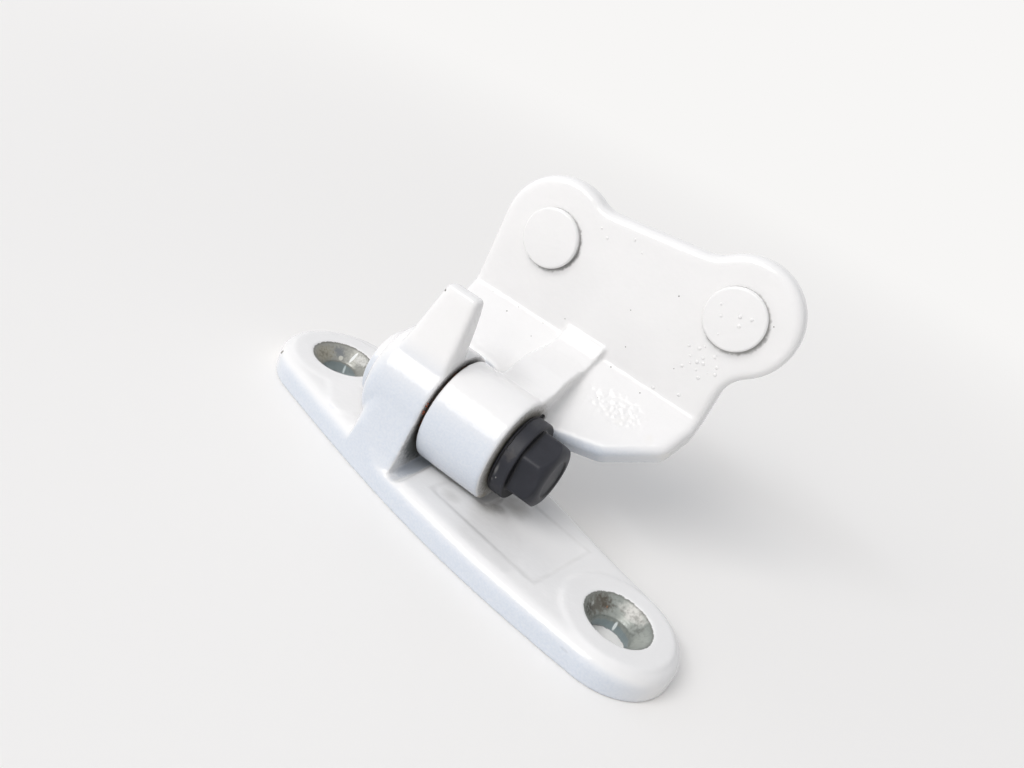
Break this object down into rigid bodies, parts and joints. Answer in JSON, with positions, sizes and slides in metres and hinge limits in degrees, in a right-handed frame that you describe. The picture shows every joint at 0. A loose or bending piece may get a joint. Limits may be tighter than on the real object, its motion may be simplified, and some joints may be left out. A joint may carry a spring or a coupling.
{
  "type": "car door hinge",
  "caption": "Two-leaf forged car door hinge: a flat pillar leaf with lug and stop finger, and a bent door leaf with studs that swings on a capped pin.",
  "frame": {"origin": "on the pillar leaf's mounting face, directly under the pin's axis, midway between the two mounting holes", "axes": "+X along the pin towards its cap, +Y towards the side where the door leaf's plate stands, +Z off the mounting face"},
  "size_m": [0.1208, 0.0725, 0.0754],
  "materials": {
    "white_enamel": "glossy white enamel with slight orange peel and small chips",
    "washer_steel": "plain steel",
    "bush_bronze": "plain bronze",
    "cap_plastic": "satin dark grey plastic"
  },
  "bodies": {
    "pillar": {"pillar_leaf": "white_enamel", "hinge_pin": "white_enamel", "thrust_washer": "washer_steel", "pin_washer": "washer_steel", "pin_nut": "washer_steel", "end_cap": "cap_plastic"},
    "door": {"door_leaf": "white_enamel", "inner_bush": "bush_bronze", "outer_bush": "bush_bronze", "stud_1": "white_enamel", "stud_2": "white_enamel"}
  },
  "joints": [
    {"name": "door_swing", "type": "hinge", "parent": "pillar", "child": "door", "pos_m": [0, 0, 0.0185], "axis": [1, 0, 0], "range_deg": [-25, 60]}
  ]
}
